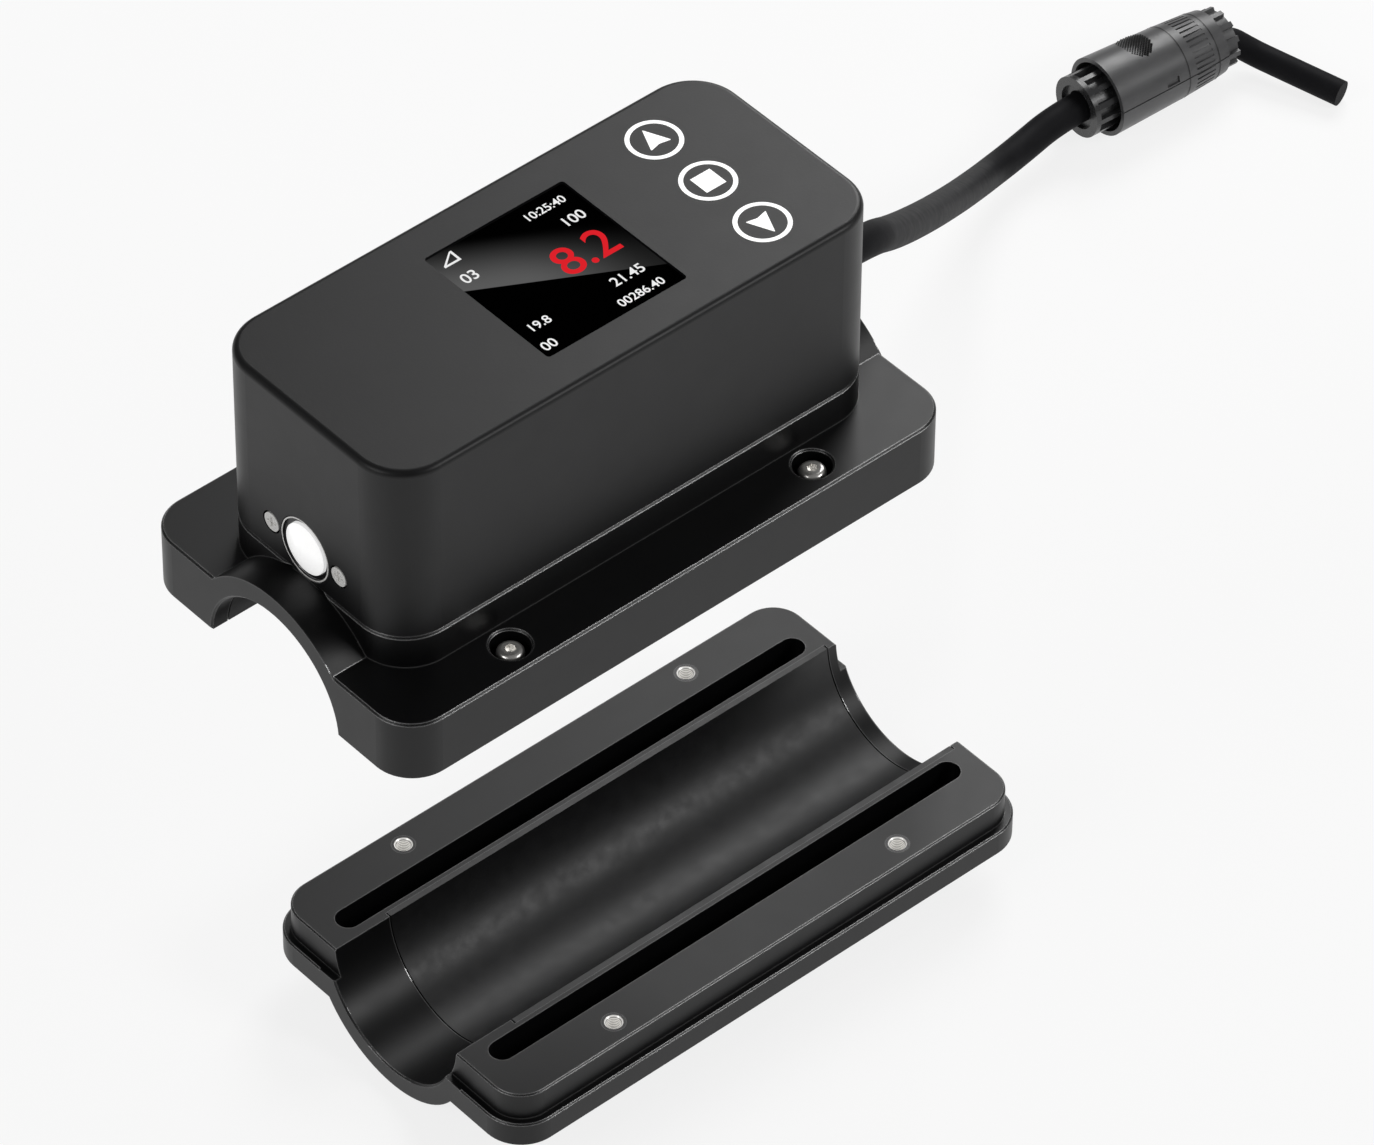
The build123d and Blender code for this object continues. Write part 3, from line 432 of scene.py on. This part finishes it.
# Amber polyetherimide of the sound wedges: clear-toned and moulded smooth
WEDGE_PLASTIC = plain_finish("amber_polyetherimide", ("#8a5a20", "#9a6828"), 0.3)
# Silvered ceramic discs: fired, pale and slightly dull
CERAMIC = plain_finish("silvered_piezo_ceramic", ("#b9b4a6", "#cbc6b8"), 0.35)
# Circuit boards: green under clear lacquer
BOARD = plain_finish("green_lacquered_board", ("#12401f", "#184d27"), 0.3)
# Screen-printed ink of the keys: flat white, kept bright by a painted glow
INK = plain_finish("white_screen_ink_painted_glow", ("#f1f1f0", "#f8f8f7"), 0.5, grit=0.6, bump=0.05,
                   Emission_Color=linear("#ffffff"), Emission_Strength=0.45)
# Lit digits of the screen: an even glow with no gloss
LIT_RED = lit_digits("lit_red_digits", "#dc2029", 1.0)
LIT_WHITE = lit_digits("lit_white_digits", "#f2f2f2", 0.95)

# Finish of each slot of the record, and of the nodes that have one of their own
FINISHES = {
    "black_anodised_metal": ANODISED, "housing_paint": POWDER_COAT, "steel": STEEL, "display_glass": GLASS,
    "lamp_white": OPAL, "black_plastic": NYLON, "connector_plastic": BARREL_NYLON, "cable_sheath": SHEATH,
    "pad_rubber": SILICONE, "wedge_plastic": WEDGE_PLASTIC, "piezo_ceramic": CERAMIC,
    "circuit_board": BOARD, "brass": BRASS,
}
OWN_FINISHES = {"lamp_screws": SATIN_STEEL, "threaded_inserts": THREADED_STEEL, "socket_nut": RIBBED_NYLON}


def finish_nodes():
    """Give each node of the frame its finish."""
    for entry in frame["record"]["subparts"]:
        node = frame["nodes"][entry["node"]]
        material = OWN_FINISHES.get(entry["node"], FINISHES[entry["material_slot"]])
        for place in node.material_slots:
            place.material = material


def placed(name, data):
    """New object of the scene that holds a mesh, curve, lamp or camera."""
    thing = bpy.data.objects.new(name, data)
    bpy.context.scene.collection.objects.link(thing)
    return thing


def piece(name, mesh, material, body):
    """Finished mesh as a piece that rides on a body."""
    thing = placed(name, mesh)
    mesh.materials.append(material)
    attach(thing, body)


def mesh_of(name, bm):
    """Mesh from a bmesh, with faces turned outwards."""
    bmesh.ops.recalc_face_normals(bm, faces=bm.faces)
    mesh = bpy.data.meshes.new(name)
    bm.to_mesh(mesh)
    bm.free()
    return mesh


def flat_ring(bm, centre, outer, inner, low, high):
    """Upright ring of rectangular section."""
    loops = []
    for radius, z in ((outer, low), (outer, high), (inner, high), (inner, low)):
        loops.append([bm.verts.new((centre[0] + radius * math.cos(2 * math.pi * i / RING_SIDES),
                                    centre[1] + radius * math.sin(2 * math.pi * i / RING_SIDES), z))
                      for i in range(RING_SIDES)])
    for a, b in zip(loops, loops[1:] + loops[:1]):
        for i in range(RING_SIDES):
            j = (i + 1) % RING_SIDES
            bm.faces.new((a[i], a[j], b[j], b[i]))


def flat_shape(bm, outline, low, high):
    """Thin plate of any outline."""
    bottom = [bm.verts.new((x, y, low)) for x, y in outline]
    top = [bm.verts.new((x, y, high)) for x, y in outline]
    bm.faces.new(bottom[::-1])
    bm.faces.new(top)
    for i in range(len(outline)):
        j = (i + 1) % len(outline)
        bm.faces.new((bottom[i], bottom[j], top[j], top[i]))


def rounded(points, radius):
    """Outline with its corners rounded off."""
    outline = []
    for before, corner, after in zip(points[-1:] + points[:-1], points, points[1:] + points[:1]):
        corner = Vector(corner)
        start = corner + (Vector(before) - corner).normalized() * radius
        end = corner + (Vector(after) - corner).normalized() * radius
        for step in range(ARROW_ROUND_STEPS + 1):
            t = step / ARROW_ROUND_STEPS
            outline.append(tuple(start * (1 - t) ** 2 + corner * 2 * t * (1 - t) + end * t ** 2))
    return outline


def key_prints():
    """White rings and plain signs of the three touch keys: an arrow each way and a square between."""
    low = HOUSING_HIGH.z
    high = low + PRINT_THICKNESS
    bm = bmesh.new()
    for way in (-1, 0, 1):
        centre = (KEY_X, way * KEY_PITCH)
        flat_ring(bm, centre, KEY_RING_OUTER, KEY_RING_OUTER - KEY_RING_WIDTH, low, high)
        if way == 0:
            half = KEY_SQUARE_HALF
            sign = [(-half, -half), (half, -half), (half, half), (-half, half)]
        else:
            wing = way * ARROW_HALF_WIDTH
            sign = rounded([(0, way * ARROW_TIP), (-wing, way * ARROW_FOOT), (0, way * ARROW_NOTCH),
                            (wing, way * ARROW_FOOT)], ARROW_ROUND)
        flat_shape(bm, [(centre[0] + x, centre[1] + y) for x, y in sign], low, high)
    piece("key_prints", mesh_of("key_prints", bm), INK, "meter")


def figures(name, rows, material, weight):
    """Lit figures just over the pane, from (text, height, middle x, middle y) rows in millimetres."""
    bm = bmesh.new()
    for text, height, x, y in rows:
        curve = bpy.data.curves.new(name, "FONT")
        curve.body = text
        curve.size = height * MM * FIGURE_BODY
        curve.extrude = FIGURE_RELIEF / 2
        curve.offset = weight * MM
        curve.align_x = "CENTER"
        curve.align_y = "CENTER"
        holder = placed(name + "_curve", curve)
        bpy.context.view_layer.update()
        mesh = bpy.data.meshes.new_from_object(holder.evaluated_get(bpy.context.evaluated_depsgraph_get()))
        bpy.data.objects.remove(holder)
        mesh.transform(Matrix.Translation((x * MM, y * MM, PANE_TOP + FIGURE_RELIEF / 2)))
        bm.from_mesh(mesh)
        bpy.data.meshes.remove(mesh)
    bmesh.ops.remove_doubles(bm, verts=bm.verts, dist=FIGURE_WELD)
    mesh = bpy.data.meshes.new(name)
    bm.to_mesh(mesh)
    bm.free()
    piece(name, mesh, material, "meter")


def screen_sign():
    """Small plain triangle in the corner of the screen, with a hole."""
    bm = bmesh.new()
    for bar in TRIANGLE_BARS:
        flat_shape(bm, [(x * MM, y * MM) for x, y in bar], PANE_TOP, PANE_TOP + FIGURE_RELIEF)
    piece("screen_sign", mesh_of("screen_sign", bm), LIT_WHITE, "meter")


def lamp_hole_rim():
    """Bright machined rim round the lamp's hole, on the end wall."""
    bm = bmesh.new()
    flat_ring(bm, (0, 0), LAMP_RIM_OUTER, LAMP_RIM_OUTER - LAMP_RIM_WIDTH, 0, PRINT_THICKNESS)
    bm.transform(Matrix.Translation((HOUSING_LOW.x - PRINT_THICKNESS, LENS_MIDDLE.y, LENS_MIDDLE.z))
                 @ Matrix.Rotation(math.radians(90), 4, "Y"))
    piece("lamp_hole_rim", mesh_of("lamp_hole_rim", bm), SATIN_STEEL, "meter")


def barrel_place(station, turn, radius):
    """Point on the connector, from its station along the axis and its turn from the top."""
    along = Vector((math.cos(CONNECTOR_YAW), math.sin(CONNECTOR_YAW), 0))
    side = Vector((-math.sin(CONNECTOR_YAW), math.cos(CONNECTOR_YAW), 0))
    angle = math.radians(turn)
    out = Vector((0, 0, 1)) * math.cos(angle) - side * math.sin(angle)
    return CONNECTOR_FACE + along * station + out * radius


def grip_patch():
    """Oval patch of small pressed pyramids on the connector's barrel."""
    bm = bmesh.new()
    rows = int(GRIP_HALF_TURN / GRIP_TURN_STEP)
    columns = int(GRIP_HALF_LENGTH / GRIP_STEP)
    for row in range(-rows, rows + 1):
        for column in range(-columns, columns + 1):
            turn = GRIP_TURN + row * GRIP_TURN_STEP
            station = GRIP_STATION + (column + 0.5 * (row % 2)) * GRIP_STEP
            share = math.hypot((turn - GRIP_TURN) / GRIP_HALF_TURN,
                               (station - GRIP_STATION) / GRIP_HALF_LENGTH)
            if share > 1:
                continue
            foot = [bm.verts.new(barrel_place(station + dx * GRIP_STEP * GRIP_REACH,
                                              turn + dt * GRIP_TURN_STEP * GRIP_TURN_REACH, BARREL_RADIUS))
                    for dx, dt in ((-1, 0), (0, -1), (1, 0), (0, 1))]
            tip = bm.verts.new(barrel_place(station, turn, BARREL_RADIUS + GRIP_HEIGHT))
            for a, b in zip(foot, foot[1:] + foot[:1]):
                bm.faces.new((a, b, tip))
            bm.faces.new(foot[::-1])
    piece("grip_patch", mesh_of("grip_patch", bm), NYLON, "meter")


def joint_lines():
    """Dark lines where the coupling ring meets the barrel and the collar."""
    bm = bmesh.new()
    for station, radius in JOINT_LINES:
        near, far = ([bm.verts.new(barrel_place(station + shift * JOINT_LINE_WIDTH, turn, radius))
                      for turn in range(0, 360, JOINT_LINE_TURN_STEP)] for shift in (-0.5, 0.5))
        for i in range(len(near)):
            j = (i + 1) % len(near)
            bm.faces.new((near[i], near[j], far[j], far[i]))
    piece("joint_lines", mesh_of("joint_lines", bm), SILICONE, "ring")


def cord(name, points, diameter, body, node):
    """Round cord along its route's smooth line."""
    curve = bpy.data.curves.new(name, "CURVE")
    curve.dimensions = "3D"
    spline = curve.splines.new("NURBS")
    spline.points.add(len(points) - 1)
    for point, place in zip(spline.points, points):
        point.co = [value * MM for value in place] + [1.0]
    spline.order_u = 3
    spline.use_endpoint_u = True
    curve.resolution_u = CORD_STEPS
    curve.bevel_depth = diameter / 2
    curve.bevel_resolution = CORD_ROUNDNESS
    curve.use_fill_caps = True
    curve.materials.append(SHEATH)
    thing = placed(name, curve)
    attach(thing, body)
    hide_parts(node)


def seen_by(tree, *rays):
    """One for rays of these kinds, and nought for all others."""
    path = add(tree, "ShaderNodeLightPath")
    seen = path.outputs[rays[0]]
    for ray in rays[1:]:
        seen = add(tree, "ShaderNodeMath", {0: seen, 1: path.outputs[ray]}, operation="MAXIMUM").outputs[0]
    return seen


def paper_floor():
    """Pale floor that keeps the meter's shadow."""
    side = FLOOR_HALF_SIDE
    mesh = bpy.data.meshes.new("studio_floor")
    mesh.from_pydata([(-side, -side, FLOOR_Z), (side, -side, FLOOR_Z), (side, side, FLOOR_Z),
                      (-side, side, FLOOR_Z)], [], [(0, 1, 2, 3)])
    placed("studio_floor", mesh)
    material, tree, output = new_material("white_paper_floor")
    seen = seen_by(tree, "Is Camera Ray", "Is Glossy Ray", "Is Transmission Ray")
    share = add(tree, "ShaderNodeMath", {0: seen, 1: FLOOR_GLOW}, operation="MULTIPLY")
    paper = add(tree, "ShaderNodeBsdfDiffuse", {"Color": linear("#fbfbfb")})
    glow = add(tree, "ShaderNodeEmission", {"Color": (1, 1, 1, 1), "Strength": 1.0})
    both = add(tree, "ShaderNodeMixShader", {0: share.outputs[0], 1: paper.outputs[0], 2: glow.outputs[0]})
    tree.links.new(both.outputs[0], output.inputs[0])
    mesh.materials.append(material)


def surroundings():
    """White behind the floor's edge, and a dim even fill on the meter."""
    world = bpy.data.worlds.new("studio_surroundings")
    bpy.context.scene.world = world
    world.use_nodes = True
    tree = world.node_tree
    tree.nodes.clear()
    output = tree.nodes.new("ShaderNodeOutputWorld")
    seen = seen_by(tree, "Is Camera Ray", "Is Transmission Ray")
    fill = add(tree, "ShaderNodeBackground", {"Color": linear("#ffffff"), "Strength": SURROUNDINGS_FILL})
    white = add(tree, "ShaderNodeBackground", {"Color": (1, 1, 1, 1), "Strength": 1.0})
    both = add(tree, "ShaderNodeMixShader", {0: seen, 1: fill.outputs[0], 2: white.outputs[0]})
    tree.links.new(both.outputs[0], output.inputs[0])


def softboxes():
    """Soft studio lamps, all turned to the meter."""
    for name, place, width, height, power in STUDIO_LAMPS:
        light = bpy.data.lights.new(name, "AREA")
        light.shape = "RECTANGLE"
        light.size = width
        light.size_y = height
        light.energy = power
        lamp = placed(name, light)
        lamp.location = place
        lamp.rotation_euler = (LAMP_AIM - Vector(place)).to_track_quat("-Z", "Y").to_euler()


def camera():
    """Camera at the photograph's place, from its azimuth, height and roll."""
    azimuth, elevation, roll = (math.radians(v) for v in (CAMERA_AZIMUTH, CAMERA_ELEVATION, CAMERA_ROLL))
    back = Vector((math.sin(azimuth) * math.cos(elevation), -math.cos(azimuth) * math.cos(elevation),
                   math.sin(elevation)))
    level = Vector((math.cos(azimuth), math.sin(azimuth), 0))
    rise = back.cross(level)
    right = level * math.cos(roll) + rise * math.sin(roll)
    up = rise * math.cos(roll) - level * math.sin(roll)
    aim = Vector((0, 0, CAMERA_AIM_HEIGHT))
    place = right * CAMERA_RIGHT + up * CAMERA_UP + back * CAMERA_DISTANCE + aim
    data = bpy.data.cameras.new("camera")
    data.lens = CAMERA_LENS
    data.sensor_width = CAMERA_SENSOR
    data.clip_end = CAMERA_REACH
    thing = placed("camera", data)
    thing.matrix_world = Matrix((
        (right.x, up.x, back.x, place.x), (right.y, up.y, back.y, place.y),
        (right.z, up.z, back.z, place.z), (0, 0, 0, 1)))
    bpy.context.scene.camera = thing


camera()
paper_floor()
surroundings()
softboxes()
bpy.context.scene.view_settings.view_transform = "Standard"
finish_nodes()
key_prints()
figures("red_figures", BIG_FIGURES, LIT_RED, BIG_FIGURE_WEIGHT)
figures("white_figures", SMALL_FIGURES, LIT_WHITE, SMALL_FIGURE_WEIGHT)
screen_sign()
lamp_hole_rim()
grip_patch()
joint_lines()
cord("meter_cord", LEAD_POINTS, LEAD_DIAMETER, "meter", "meter_lead")
cord("supply_cord", SUPPLY_POINTS, SUPPLY_DIAMETER, "plug", "supply_lead")
